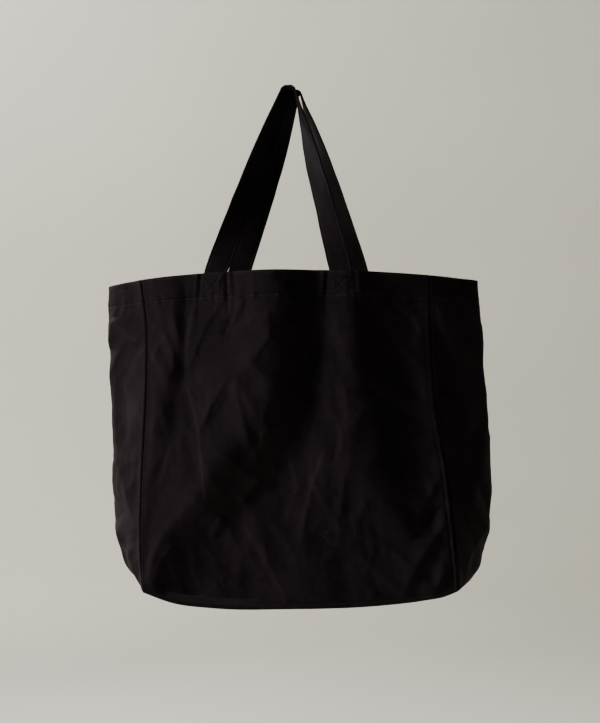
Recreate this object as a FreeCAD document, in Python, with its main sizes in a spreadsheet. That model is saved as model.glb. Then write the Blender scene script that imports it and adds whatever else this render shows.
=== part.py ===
import FreeCAD, Part
import math
import os
import Sketcher

# A canvas tote bag hanging by its two handles. Millimetres, +Z up, front of the bag towards -Y.
# The origin is the hang point: the middle of the underside of the handles, where they bear on a hook.

document = FreeCAD.newDocument("ToteBag")

drivingSizes = {
    # heights below the hang point
    "hemDrop": 218,           # top edge of the bag, at its middle
    "hemRadius": 1980,        # the top edge droops towards the sides on this radius
    "topDrop": 217,           # where the walls' shape starts, above the top edge
    "upperDrop": 400,
    "lowerDrop": 505,
    "cornerDrop": 592,        # bottom corners
    "bottomDrop": 608,        # lowest line of the bottom, at its middle
    "bottomRadius": 1203,     # the bottom sags on this radius
    # half widths and half depths at the seams, and how far the front bows out between them
    "topHalfWidth": 178,
    "upperHalfWidth": 181,
    "lowerHalfWidth": 187,
    "cornerHalfWidth": 190,
    "topHalfDepth": 32,
    "upperHalfDepth": 39,
    "lowerHalfDepth": 43,
    "topBow": 20,
    "upperBow": 16,
    "lowerBow": 12,
    "cornerBow": 2,
    "gussetWidth": 120,       # the side pieces, flat at the bottom and folded outwards above it
    # cloth, tape and thread
    "clothThickness": 1.0,
    "layerGap": 0.2,          # between layers that are sewn together
    "seamGap": 0.2,           # between the edges of two pieces at a seam
    "hemDepth": 32,
    "threadWidth": 0.7,
    "threadHeight": 0.4,
    "threadGap": 0.25,        # below a thread that lies on the cloth
    "hemStitchInset": 4,      # from the turned edge to the row that holds it
    "edgeStitchInset": 5,     # from a seam to the row beside it
    "bindingWidth": 9,
    "bindingThickness": 1.6,
    "bindingInset": 3,
    # handles
    "strapWidth": 28,
    "strapThickness": 2.4,
    "strapHalfSpacing": 77.5, # middle of the bag to the middle of a strap, at the top edge
    "strapSewnLength": 30,    # the sewn end, below the top edge
    "strapTopRadius": 4.2,    # inside the bend over the hook
    "strapTwist": 60,         # degrees that a leg turns steadily, from its foot to its top
    "strapTopTwist": 78,      # degrees turned in all where the bend over the hook starts
    "handleGap": 0.6,         # between the two handles, over the hook
    "hingeGap": 0.3,          # between a sewn end and the part of the strap that swings
    "strapStitchInset": 3.5,  # from the strap's edges to its rows of stitching
    "boxStitchSize": 22,      # the crossed square that holds a sewn end
    "boxStitchInset": 4,
}

sheet = document.addObject("Spreadsheet::Sheet", "Sizes")
for row, (alias, number) in enumerate(drivingSizes.items(), start=1):
    sheet.set(f"A{row}", alias)
    sheet.set(f"B{row}", str(number))
    sheet.setAlias(f"B{row}", alias)
document.recompute()

levels = ("top", "upper", "lower", "corner", "skirt")
upright = FreeCAD.Rotation(FreeCAD.Vector(1, 0, 0), 90)
nodes = {}


def size(alias):
    """A driving size from the sheet."""
    return float(getattr(sheet, alias))


def named(text):
    """The same expression with each driving size's name led to the sheet."""
    for alias in sorted(drivingSizes, key=len, reverse=True):
        text = text.replace(alias, f"<{alias[0]}|{alias[1:]}>")
    return text.replace("<", "Sizes.").replace("|", "").replace(">", "")


def number(text):
    """What an expression of driving sizes comes to."""
    return float(sheet.evalExpression(named(text)))


def levelSize(kind, level):
    """The expression for a half width, half depth or bow at one level of the walls."""
    shape = "corner" if level == "skirt" else level
    if kind == "HalfDepth" and shape == "corner":
        return "(gussetWidth / 2)"
    return f"{shape}{kind}"


def levelDrop(level):
    return "(bottomDrop + 2)" if level == "skirt" else f"{level}Drop"


def closedSketch(name, corners, arcs, place):
    """A sketch through corners given as expressions; arcs gives an edge's radius and the side it bulges to."""
    sketch = document.addObject("Sketcher::SketchObject", name)
    sketch.Placement = place
    points = [FreeCAD.Vector(number(x), number(y), 0) for x, y in corners]
    ends = []
    for i, start in enumerate(points):
        finish = points[(i + 1) % len(points)]
        if i in arcs:
            radius, side = number(arcs[i][0]), arcs[i][1]
            ends.append(addArc(sketch, start, finish, radius, side))
        else:
            sketch.addGeometry(Part.LineSegment(start, finish), False)
            ends.append((1, 2))
    for i, (x, y) in enumerate(corners):
        following = (i + 1) % len(corners)
        sketch.addConstraint(Sketcher.Constraint("Coincident", i, ends[i][1], following, ends[following][0]))
        for axis, text, value in (("X", x, points[i].x), ("Y", y, points[i].y)):
            index = sketch.addConstraint(Sketcher.Constraint(f"Distance{axis}", i, ends[i][0], value))
            sketch.renameConstraint(index, f"corner{axis}{i}")
            sketch.setExpression(f"Constraints.corner{axis}{i}", named(text))
    for i, (radius, side) in arcs.items():
        index = sketch.addConstraint(Sketcher.Constraint("Radius", i, number(radius)))
        sketch.renameConstraint(index, f"radius{i}")
        sketch.setExpression(f"Constraints.radius{i}", named(radius))
    return sketch


def addArc(sketch, start, finish, radius, side):
    """Adds the short arc between two points, bulging to the left (side 1) or right (-1) of start to finish."""
    chord = finish - start
    middle = (start + finish) * 0.5
    left = FreeCAD.Vector(-chord.y, chord.x, 0).normalize()
    centre = middle - left * side * math.sqrt(radius**2 - (chord.Length / 2) ** 2)
    first, last = (finish, start) if side == 1 else (start, finish)
    angles = [math.atan2(p.y - centre.y, p.x - centre.x) for p in (first, last)]
    if angles[1] < angles[0]:
        angles[1] += 2 * math.pi
    circle = Part.Circle(centre, FreeCAD.Vector(0, 0, 1), radius)
    sketch.addGeometry(Part.ArcOfCircle(circle, *angles), False)
    return (2, 1) if side == 1 else (1, 2)


def loft(name, sections):
    solid = document.addObject("Part::Loft", name)
    solid.Sections = sections
    solid.Solid = True
    solid.Ruled = True
    return solid


def through(name, sketch):
    """The sketch pushed both ways along Y, right through the bag."""
    prism = document.addObject("Part::Extrusion", name)
    prism.Base = sketch
    prism.DirMode = "Custom"
    prism.Dir = FreeCAD.Vector(0, 1, 0)
    prism.Symmetric = True
    prism.Solid = True
    prism.setExpression("LengthFwd", named("gussetWidth * 2"))
    return prism


def combined(kind, name, base, tool):
    result = document.addObject(f"Part::{kind}", name)
    result.Base = base
    result.Tool = tool
    return result


def mirrored(name, source, normal):
    copy = document.addObject("Part::Mirroring", name)
    copy.Source = source
    copy.Normal = FreeCAD.Vector(*normal)
    return copy


def node(label, item):
    item.Label = label
    nodes[label] = item
    return item


def pair(name, item):
    """A front piece and its mirror image on the back."""
    node(f"front_{name}", item)
    node(f"back_{name}", mirrored(f"back_{name}", item, (0, 1, 0)))


def sectionPlace(level):
    return FreeCAD.Placement(FreeCAD.Vector(0, 0, -number(levelDrop(level))), FreeCAD.Rotation())


def atLevel(sketch, level):
    sketch.setExpression("Placement.Base.z", named(f"-{levelDrop(level)}"))
    return sketch


def frontSkin(name, outer, inner):
    """A layer that follows the bowed front, from outer to inner, both measured inwards from its outside."""
    sections = []
    for level in levels:
        wide, deep, bow = (levelSize(kind, level) for kind in ("HalfWidth", "HalfDepth", "Bow"))
        radius = f"({wide} * {wide} + {bow} * {bow}) / (2 * {bow})"
        near, far = f"{outer} - {deep}", f"{inner} - {deep}"
        corners = [(f"-{wide}", near), (wide, near), (wide, far), (f"-{wide}", far)]
        arcs = {0: (radius, -1), 2: (radius, 1)}
        sections.append(atLevel(closedSketch(f"{name}_{level}", corners, arcs, sectionPlace(level)), level))
    return loft(name, sections)


def gussetSkin(name, outer, inner):
    """A layer that follows the right gusset, folded outwards along its middle; outer and inner as above."""
    sections = []
    for level in levels:
        wide, deep = levelSize("HalfWidth", level), levelSize("HalfDepth", level)
        fold = f"sqrt(gussetWidth * gussetWidth / 4 - {deep} * {deep})"
        slope = f"gussetWidth / 2 / {deep}"
        edge = f"({deep} - clothThickness - seamGap)"
        near, far = f"{wide} - ({outer}) * {slope}", f"{wide} - ({inner}) * {slope}"
        corners = [
            (near, f"-{edge}"),
            (f"{near} + {fold}", "0"),
            (near, edge),
            (far, edge),
            (f"{far} + {fold}", "0"),
            (far, f"-{edge}"),
        ]
        sections.append(atLevel(closedSketch(f"{name}_{level}", corners, {}, sectionPlace(level)), level))
    return loft(name, sections)


def outline(name, sideInset, topInset, bottomInset):
    """The wall's outline seen from the front: its seams inset, its drooping top and its sagging bottom."""
    right = []
    for level in levels:
        right.append((f"({levelSize('HalfWidth', level)} - ({sideInset}))", levelDrop(level)))
    topX, cornerX = right[0][0], right[-1][0]
    topRadius, bottomRadius = f"(hemRadius - ({topInset}))", f"(bottomRadius - ({bottomInset}))"
    topZ = f"-hemDrop - hemRadius + sqrt({topRadius} * {topRadius} - {topX} * {topX})"
    bottomZ = f"-bottomDrop + bottomRadius - sqrt({bottomRadius} * {bottomRadius} - {cornerX} * {cornerX})"
    middle = [(x, f"-{drop}") for x, drop in right[1:3]]
    edge = [(topX, topZ), *middle, (cornerX, bottomZ)]
    corners = edge + [(f"-{x}", z) for x, z in reversed(edge)]
    arcs = {3: (bottomRadius, 1), 7: (topRadius, 1)}
    place = FreeCAD.Placement(FreeCAD.Vector(), upright)
    return through(f"{name}_prism", closedSketch(name, corners, arcs, place))


def hemBand(name, inset, depth, halfLength):
    """A band along the drooping top edge, inset below it."""
    upper, lower = f"(hemRadius - ({inset}))", f"(hemRadius - ({inset}) - {depth})"
    drop = "-hemDrop - hemRadius"
    upperZ, lowerZ = (f"{drop} + sqrt({r} * {r} - {halfLength} * {halfLength})" for r in (upper, lower))
    left = f"-{halfLength}"
    corners = [(left, upperZ), (halfLength, upperZ), (halfLength, lowerZ), (left, lowerZ)]
    arcs = {0: (upper, 1), 2: (lower, -1)}
    place = FreeCAD.Placement(FreeCAD.Vector(), upright)
    return through(f"{name}_prism", closedSketch(name, corners, arcs, place))


def walls(shape):
    """The front and back panels and the two gussets, cut to the drooping top and the sagging bottom."""
    pair("panel", combined("Common", "front_panel", frontSkin("front_skin", "0", "clothThickness"), shape))
    skin = gussetSkin("gusset_skin", "0", "clothThickness")
    gussets("gusset", combined("Common", "right_gusset", skin, shape))


def gussets(name, item):
    """A piece of the right gusset and its mirror image on the left."""
    node(f"right_{name}", item)
    node(f"left_{name}", mirrored(f"left_{name}", item, (1, 0, 0)))


def bottomPanel():
    """The bottom, sagging along its length, with edges that follow the walls in plan."""
    wide, deep, bow = "cornerHalfWidth", "gussetWidth / 2", "cornerBow"
    lower, upper = "bottomRadius", "(bottomRadius - clothThickness)"
    lowerZ, upperZ = (f"-bottomDrop + bottomRadius - sqrt({r} * {r} - {wide} * {wide})" for r in (lower, upper))
    corners = [(f"-{wide}", lowerZ), (wide, lowerZ), (wide, upperZ), (f"-{wide}", upperZ)]
    place = FreeCAD.Placement(FreeCAD.Vector(), upright)
    sagging = closedSketch("bottom_section", corners, {0: (lower, -1), 2: (upper, 1)}, place)
    plate = through("bottom_section_prism", sagging)
    radius = f"({wide} * {wide} + {bow} * {bow}) / (2 * {bow})"
    corners = [(f"-{wide}", f"-{deep}"), (wide, f"-{deep}"), (wide, deep), (f"-{wide}", deep)]
    place = FreeCAD.Placement(FreeCAD.Vector(0, 0, -number("bottomDrop")), FreeCAD.Rotation())
    plan = closedSketch("bottom_plan", corners, {0: (radius, -1), 2: (radius, -1)}, place)
    plan.setExpression("Placement.Base.z", named("-bottomDrop"))
    column = document.addObject("Part::Extrusion", "bottom_plan_prism")
    column.Base = plan
    column.DirMode = "Custom"
    column.Dir = FreeCAD.Vector(0, 0, 1)
    column.Symmetric = True
    column.Solid = True
    column.setExpression("LengthFwd", named("gussetWidth"))
    node("bottom_panel", combined("Common", "bottom_panel", plate, column))


def surfaceThread(skin, name, shape):
    """Thread of the given outline, lying on the outside of a wall."""
    height = ("-threadGap - threadHeight", "-threadGap")
    return combined("Common", name, skin(f"{name}_skin", *height), shape)


def hemStitching():
    """The row that holds the turned top edge down, right round the bag."""
    halfLength = "(topHalfWidth + gussetWidth / 2)"
    band = hemBand("hem_stitch_line", "hemDepth - hemStitchInset", "threadWidth", halfLength)
    pair("hem_stitching", surfaceThread(frontSkin, "front_hem_stitching", band))
    gussets("hem_stitching", surfaceThread(gussetSkin, "right_hem_stitching", band))


def aroundSeams(name, side, bottom, width, top):
    """A band of the given width, down one side seam, along the bottom seam and up the other side."""
    outer = outline(f"{name}_outer", side, top, bottom)
    inner = outline(f"{name}_inner", f"{side} + {width}", "-hemDepth", f"{bottom} + {width}")
    return combined("Cut", f"{name}_band", outer, inner)


def edgeStitching():
    """The row beside the seams that join the front, or the back, to the gussets and the bottom."""
    bottom = "clothThickness + seamGap + edgeStitchInset"
    band = aroundSeams("edge_stitch", "edgeStitchInset", bottom, "threadWidth", "hemDepth")
    pair("edge_stitching", surfaceThread(frontSkin, "front_edge_stitching", band))


def seamBinding():
    """The tape folded over the raw edges of those seams, inside the bag and below the turned top edge."""
    bottom = "clothThickness + seamGap + layerGap"
    band = aroundSeams("binding", "bindingInset", bottom, "bindingWidth", "hemDepth")
    near = "clothThickness + layerGap"
    skin = frontSkin("binding_skin", near, f"{near} + bindingThickness")
    pair("seam_binding", combined("Common", "front_seam_binding", skin, band))


def leftAndRight(name, item):
    """A piece of the front's right handle end, with its mirror images at the other three ends."""
    pair(f"{name}_right", item)
    pair(f"{name}_left", mirrored(f"front_{name}_left", item, (1, 0, 0)))


def bar(name, corners):
    place = FreeCAD.Placement(FreeCAD.Vector(), upright)
    return through(f"{name}_prism", closedSketch(name, corners, {}, place))


def handleEnds():
    """The sewn ends of the straps, inside the turned top edge."""
    left, right = "strapHalfSpacing - strapWidth / 2", "strapHalfSpacing + strapWidth / 2"
    low, high = "-hemDrop - strapSewnLength", "-hemDrop - hingeGap / 2"
    block = bar("handle_end", [(left, low), (right, low), (right, high), (left, high)])
    near = "clothThickness + layerGap"
    skin = frontSkin("handle_end_skin", near, f"{near} + strapThickness")
    leftAndRight("handle_end", combined("Common", "front_handle_end_right", skin, block))


def boxStitching():
    """A square of thread with both diagonals, over each sewn end."""
    left, right = (f"strapHalfSpacing {sign} boxStitchSize / 2" for sign in "-+")
    high, low = "-hemDrop - boxStitchInset", "-hemDrop - boxStitchInset - boxStitchSize"
    thread = "threadWidth"
    bars = {
        "top": [(left, f"{high} - {thread}"), (right, f"{high} - {thread}"), (right, high), (left, high)],
        "foot": [(left, low), (right, low), (right, f"{low} + {thread}"), (left, f"{low} + {thread}")],
        "left": [(left, low), (f"{left} + {thread}", low), (f"{left} + {thread}", high), (left, high)],
        "right": [(f"{right} - {thread}", low), (right, low), (right, high), (f"{right} - {thread}", high)],
        "rising": [
            (left, low),
            (f"{left} + {thread}", low),
            (right, f"{high} - {thread}"),
            (right, high),
            (f"{right} - {thread}", high),
            (left, f"{low} + {thread}"),
        ],
        "falling": [
            (left, f"{high} - {thread}"),
            (f"{right} - {thread}", low),
            (right, low),
            (right, f"{low} + {thread}"),
            (f"{left} + {thread}", high),
            (left, high),
        ],
    }
    crossed = document.addObject("Part::MultiFuse", "crossed_square")
    crossed.Shapes = [bar(f"box_{name}", corners) for name, corners in bars.items()]
    leftAndRight("box_stitching", surfaceThread(frontSkin, "front_box_stitching_right", crossed))


def frontY(x):
    """Where the outside of the front is, at the top edge and x to one side of the middle."""
    wide, deep, bow = size("topHalfWidth"), size("topHalfDepth"), size("topBow")
    radius = (wide**2 + bow**2) / (2 * bow)
    return radius - deep - bow - math.sqrt(radius**2 - x**2)


def handlePath(way):
    """Stations along a front handle, from its right end to its left: place, width, thickness, direction."""
    x, thick = size("strapHalfSpacing"), size("strapThickness")
    baseZ = -size("hemDrop") + size("hingeGap") / 2
    baseY = frontY(x) + size("clothThickness") + size("layerGap") + thick / 2
    topY = -(size("strapWidth") + size("handleGap")) / 2
    bend, bendZ = size("strapTopRadius") + thick / 2, -size("strapTopRadius")
    start = math.atan2(baseZ - bendZ, x) + math.acos(bend / math.hypot(x, baseZ - bendZ))
    base = FreeCAD.Vector(x, baseY, baseZ)
    touch = FreeCAD.Vector(bend * math.cos(start), topY, bendZ + bend * math.sin(start))
    tilt = math.atan((frontY(x + 1) - frontY(x - 1)) / 2)
    across = FreeCAD.Vector(math.cos(tilt), math.sin(tilt), 0)
    upwards = FreeCAD.Vector(0, 0, 1)
    stations = [(base, across, upwards.cross(across), upwards)]
    twist, topTwist = size("strapTwist"), size("strapTopTwist")
    for part in (0.05, 0.15, 0.3, 0.45, 0.6, 0.7, 0.8, 0.9, 1):
        turned = twist * part + (topTwist - twist) * max(0, (part - 0.6) / 0.4)
        stations.append(station(base + (touch - base) * part, (touch - base).normalize(), turned * way))
    for part in (0.25, 0.5, 0.75, 1):
        angle = start + (math.pi / 2 - start) * part
        place = FreeCAD.Vector(bend * math.cos(angle), topY, bendZ + bend * math.sin(angle))
        along = FreeCAD.Vector(-math.sin(angle), 0, math.cos(angle))
        stations.append(station(place, along, (topTwist + (90 - topTwist) * part) * way))
    for place, across, _, along in reversed(stations[:-1]):
        place = FreeCAD.Vector(-place.x, place.y, place.z)
        across = FreeCAD.Vector(-across.x, across.y, across.z)
        along = FreeCAD.Vector(along.x, -along.y, -along.z)
        stations.append((place, across, along.cross(across), along))
    return stations


def station(place, along, twist):
    """One place on the strap, its width turned by the twist from the plane of the loop."""
    flat = FreeCAD.Vector(0, 1, 0).cross(along).normalize()
    turn = math.radians(twist)
    across = flat * math.cos(turn) - along.cross(flat) * math.sin(turn)
    return place, across, along.cross(across), along


def alongHandle(name, sides, faces, way):
    """A solid that follows the handle: sides are its edges across the strap, faces its depths through it.

    The way is 1 where the strap's outer face turns to the inside of the loop, and -1 where it turns out.
    """
    corners = [(sides[0], faces[0]), (sides[1], faces[0]), (sides[1], faces[1]), (sides[0], faces[1])]
    sections = []
    for i, (place, across, through_, along) in enumerate(handlePath(way)):
        axes = FreeCAD.Matrix(
            across.x, through_.x, along.x, place.x,
            across.y, through_.y, along.y, place.y,
            across.z, through_.z, along.z, place.z,
        )
        sections.append(closedSketch(f"{name}_{i}", corners, {}, FreeCAD.Placement(axes)))
    return loft(name, sections)


def handles():
    """The swinging loops of the two straps, with a row of stitching near each edge.

    Both loops turn the same way over the hook, so the back one isn't a mirror image of the front one.
    """
    half = "strapThickness / 2"
    sides = ("-strapWidth / 2", "strapWidth / 2")
    row = "(strapWidth / 2 - strapStitchInset)"
    depths = (f"-{half} - threadGap - threadHeight", f"-{half} - threadGap")
    for name, way in (("front", 1), ("back", -1)):
        loop = alongHandle(f"{name}_loop", sides, (f"-{half}", half), way)
        rows = document.addObject("Part::Compound", f"{name}_loop_stitching")
        rows.Links = [
            alongHandle(f"{name}_row_outer", (row, f"{row} + threadWidth"), depths, way),
            alongHandle(f"{name}_row_inner", (f"-{row} - threadWidth", f"-{row}"), depths, way),
        ]
        if name == "back":
            loop = mirrored("back_loop_in_place", loop, (0, 1, 0))
            rows = mirrored("back_loop_stitching_in_place", rows, (0, 1, 0))
        node(f"{name}_handle", loop)
        node(f"{name}_handle_stitching", rows)


def finish():
    """Recomputes, checks every object and writes each sub-part's shape."""
    document.recompute()
    for item in document.Objects:
        if "Invalid" in item.State or "Error" in item.State:
            raise RuntimeError(f"{item.Label} failed: {item.State}")
    os.makedirs("parts", exist_ok=True)
    for label, item in nodes.items():
        if item.Shape.isNull() or not item.Shape.isValid():
            raise RuntimeError(f"{label} has no valid shape")
        item.Shape.exportStep(f"parts/{label}.step")
        box = item.Shape.BoundBox
        print(label, len(item.Shape.Solids), round(item.Shape.Volume), [round(v, 1) for v in (
            box.XMin, box.XMax, box.YMin, box.YMax, box.ZMin, box.ZMax)])


walls(outline("wall_outline", "-gussetWidth", "0", "clothThickness + seamGap"))
bottomPanel()
hemStitching()
edgeStitching()
seamBinding()
handleEnds()
boxStitching()
handles()
finish()
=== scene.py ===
import math
from functools import partial

import bmesh
import bpy
import numpy as np
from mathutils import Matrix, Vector


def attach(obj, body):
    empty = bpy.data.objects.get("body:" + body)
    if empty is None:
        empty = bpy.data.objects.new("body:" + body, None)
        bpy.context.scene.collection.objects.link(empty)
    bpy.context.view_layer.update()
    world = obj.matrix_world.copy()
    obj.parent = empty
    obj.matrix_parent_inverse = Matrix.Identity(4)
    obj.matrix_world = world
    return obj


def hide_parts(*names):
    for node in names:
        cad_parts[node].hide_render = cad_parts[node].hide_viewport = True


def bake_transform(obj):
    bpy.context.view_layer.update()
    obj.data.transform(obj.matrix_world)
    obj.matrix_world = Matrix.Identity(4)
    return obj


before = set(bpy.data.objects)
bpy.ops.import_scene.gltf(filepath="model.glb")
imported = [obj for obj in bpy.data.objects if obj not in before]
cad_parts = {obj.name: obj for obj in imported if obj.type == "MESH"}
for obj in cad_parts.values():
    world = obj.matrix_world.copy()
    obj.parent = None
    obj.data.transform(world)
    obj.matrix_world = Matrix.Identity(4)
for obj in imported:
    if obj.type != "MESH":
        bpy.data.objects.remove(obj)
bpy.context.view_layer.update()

print("frame loaded")


# ---- shape of the bag: metres, front towards -Y, hung from the origin

bag = {
    # share of the way down: half width, half depth, bow of front and back
    "levels": [
        (0.00, 0.1790, 0.0320, 0.0200),
        (0.25, 0.1800, 0.0340, 0.0190),
        (0.48, 0.1810, 0.0390, 0.0160),
        (0.74, 0.1865, 0.0435, 0.0120),
        (0.90, 0.1890, 0.0515, 0.0060),
        (1.00, 0.1900, 0.0590, 0.0020),
    ],
    # share of the way down: where the fold of each gusset is
    "folds": {
        "left": [(0, -0.2400), (0.15, -0.2390), (0.35, -0.2375), (0.55, -0.2340), (0.72, -0.2312),
                 (0.80, -0.2290), (0.88, -0.2225), (0.94, -0.2140), (1, -0.1900)],
        "right": [(0, 0.2215), (0.23, 0.2263), (0.46, 0.2311), (0.70, 0.2347), (0.80, 0.2330),
                  (0.90, 0.2250), (0.96, 0.2190), (1, 0.2100)],
    },
    "foldSoftness": 0.10,   # how round the fold of a gusset is at the hem
    "foldSoftening": 1.6,   # and how much rounder at the bottom
    "hemZ": -0.2180,        # the highest place of the turned edge
    "hemRadius": 1.98,
    # the bottom seam: x from the middle, z
    "bottom": [
        (-0.19, -0.5985), (-0.15, -0.6100), (-0.10, -0.6135), (0.0, -0.6095),
        (0.10, -0.6010), (0.15, -0.5930), (0.175, -0.5870), (0.19, -0.5800),
    ],
    # share of the way down: sideways drift of the whole bag
    "drift": [(0.0, -0.0075), (0.25, -0.003), (0.53, 0.002), (0.75, 0.008), (1.0, 0.0170)],
    # share of the way down: how far each seam leaves its straight line, towards +X
    "seamWander": {
        "frontLeft": [(0, 0.003), (0.15, 0.008), (0.3, 0.007), (0.6, 0.001), (0.8, -0.001), (1, 0.001)],
        "frontRight": [(0, -0.002), (0.25, -0.005), (0.4, -0.003), (0.55, 0.002), (0.8, 0.002), (1, 0.001)],
        "backRight": [(0, 0.001), (0.3, -0.004), (0.6, 0.003), (1, 0)],
        "backLeft": [(0, 0.0), (0.25, 0.005), (0.55, 0.001), (0.8, -0.003), (1, 0)],
    },
    "panelWidth": 0.380,
    "panelHeight": 0.384,
    "gussetWidth": 0.120,
    "clothThickness": 0.0008,
    "seamRoll": 0.0027,             # radius with which the cloth turns in at a seam
    "seamWay": (0.45, 0.90),        # direction of that turn at a side seam, in x and y
    "bottomWay": 0.7,               # the same at the bottom, inwards and up alike
    "bottomSag": 0.0035,
    "allowanceWay": (0.92, 0.39),   # direction of the turned-in edges of a side seam
    "seamAllowance": 0.0035,
    "flangeGap": 0.0007,            # from a seam to the middle of each cloth that turns in there
    "hemDepth": 0.032,
    "hemTurn": 0.00055,             # radius of the middle of the cloth, where the hem turns over
}


def hermite(t, gap, first, last, slopeFirst, slopeLast):
    # a smooth curve between two values; t runs from 0 to 1 over the gap
    return (
        first * (1 + 2 * t) * (1 - t) ** 2
        + slopeFirst * gap * t * (1 - t) ** 2
        + last * t * t * (3 - 2 * t)
        + slopeLast * gap * t * t * (t - 1)
    )


def along(table, at, column=1):
    # smooth interpolation through a table's rows
    xs, ys = (np.array([row[i] for row in table], float) for i in (0, column))
    slopes = np.gradient(ys, xs)
    at = np.clip(at, xs[0], xs[-1])
    i = np.clip(np.searchsorted(xs, at) - 1, 0, len(xs) - 2)
    gap = xs[i + 1] - xs[i]
    return hermite((at - xs[i]) / gap, gap, ys[i], ys[i + 1], slopes[i], slopes[i + 1])


def smooth(edge0, edge1, value):
    t = np.clip((value - edge0) / (edge1 - edge0), 0, 1)
    return t * t * (3 - 2 * t)


def bell(value, width):
    return np.exp(-((value / width) ** 2))


def unit(vectors):
    return vectors / np.maximum(np.linalg.norm(vectors, axis=-1, keepdims=True), 1e-9)


def walk(points):
    # distance along a line of points
    return np.concatenate([[0], np.cumsum(np.linalg.norm(np.diff(points, axis=0), axis=1))])


def heightAt(x, down):
    top, foot = bag["drift"][0][1], bag["drift"][-1][1]
    hem = bag["hemZ"] - (x - top) ** 2 / (2 * bag["hemRadius"])
    low = along(bag["bottom"], x - foot)
    return hem + (low - hem) * down


def hemZ(x):
    return heightAt(x, np.zeros_like(x))


def seamX(name, down):
    side = -1 if name.endswith("Left") else 1
    half = along(bag["levels"], down)
    return side * half + along(bag["drift"], down) + along(bag["seamWander"][name], down)


def wallPoint(wall, share, down):
    # a point on the outside of one wall; share runs from -1 to 1, anticlockwise seen from above
    ends = {
        "front": ("frontLeft", "frontRight"),
        "right": ("frontRight", "backRight"),
        "back": ("backRight", "backLeft"),
        "left": ("backLeft", "frontLeft"),
    }[wall]
    depth, bow = (along(bag["levels"], down, i) for i in (2, 3))
    u = (share + 1) / 2
    x = seamX(ends[0], down) * (1 - u) + seamX(ends[1], down) * u
    if wall in ("front", "back"):
        y = depth + bow * (1 - share**2)
        y = -y if wall == "front" else y
    else:
        soft = bag["foldSoftness"] * (1 + bag["foldSoftening"] * down)
        peak = np.sqrt(1 + soft**2) - soft
        out = 1 - (np.sqrt(share**2 + soft**2) - soft) / peak
        x = x * (1 - out) + along(bag["folds"][wall], down) * out
        y = depth * share if wall == "right" else -depth * share
    return np.stack([x, y, heightAt(x, down)], -1)


# ---- folds, creases and puckers

def waves(x, z, length, seed, count=14):
    # a smooth field without a pattern, from -1 to 1, with waves of about the given length
    rng = np.random.default_rng(seed)
    total = np.zeros(np.broadcast(x, z).shape)
    for _ in range(count):
        angle, phase = rng.uniform(0, 2 * math.pi, 2)
        k = 2 * math.pi / length * rng.uniform(0.6, 1.5)
        total += np.sin(k * (x * math.cos(angle) + z * math.sin(angle)) + phase)
    return total / math.sqrt(count / 2) / 1.6


def bent(x, z, amount, length, seed):
    # moves places about, so that the folds drawn there wander
    return (place + amount * waves(x, z, length, seed + i) for i, place in ((1, x), (2, z)))


def crumple(x, z, length, seed):
    # a net of thin ridges, like cloth that was folded away
    x2, z2 = bent(x, z, 0.25 * length, length * 2.2, seed)
    return np.exp(-np.abs(waves(x2, z2, length, seed, 9)) / 0.16)


def facets(x, z, length, seed):
    # flat-sided folds that meet in crisp ridges and valleys, from about -1 to 1
    crispness = 0.06
    x2, z2 = bent(x, z, 0.22 * length, length * 2.0, seed)
    ridge = np.sqrt(waves(x2, z2, length, seed + 3, 7) ** 2 + crispness**2)
    valley = np.sqrt(waves(x2, z2, length * 1.25, seed + 4, 7) ** 2 + crispness**2)
    return 1.1 * (valley - ridge)


creaseShape = {
    "steep": 0.9,      # spread of the narrow side of a crease
    "gentle": 2.8,     # and of its wide side
    "height": 1.15,
    "tip": 0.0009,     # how round its ridge is
    "fadeIn": 0.12,    # share of its length over which it rises
    "fadeOut": 0.25,
}


def creaseHeight(x, z, crease):
    # the height of one crease, which falls away sharply on one side and slowly on the other
    height, left, right, points, *ends = crease
    points = np.array(points, float)
    best = np.full(x.shape, 1e9)
    side, place = np.zeros(x.shape), np.zeros(x.shape)
    lengths = np.hypot(*np.diff(points, axis=0).T)
    total, walked = lengths.sum(), 0.0
    for (ax, az), (bx, bz), length in zip(points[:-1], points[1:], lengths):
        dx, dz = (bx - ax) / length, (bz - az) / length
        t = np.clip((x - ax) * dx + (z - az) * dz, 0, length)
        ox, oz = x - (ax + dx * t), z - (az + dz * t)
        distance = np.hypot(ox, oz)
        nearer = distance < best
        best = np.where(nearer, distance, best)
        side = np.where(nearer, ox * -dz + oz * dx, side)
        place = np.where(nearer, (walked + t) / total, place)
        walked += length
    wide, narrow, tip = creaseShape["gentle"], creaseShape["steep"], creaseShape["tip"]
    left, right = (wide * left, narrow * right) if left > right else (narrow * left, wide * right)
    profile = np.exp(-(np.sqrt(best**2 + tip**2) - tip) / np.where(side > 0, right, left))
    fadeOut = ends[0] if ends else creaseShape["fadeOut"]
    fade = smooth(0, creaseShape["fadeIn"], place) * smooth(0, fadeOut, 1 - place)
    return creaseShape["height"] * height * profile * (0.15 + 0.85 * fade) * np.where(fade > 0, 1, 0.4)


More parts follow.
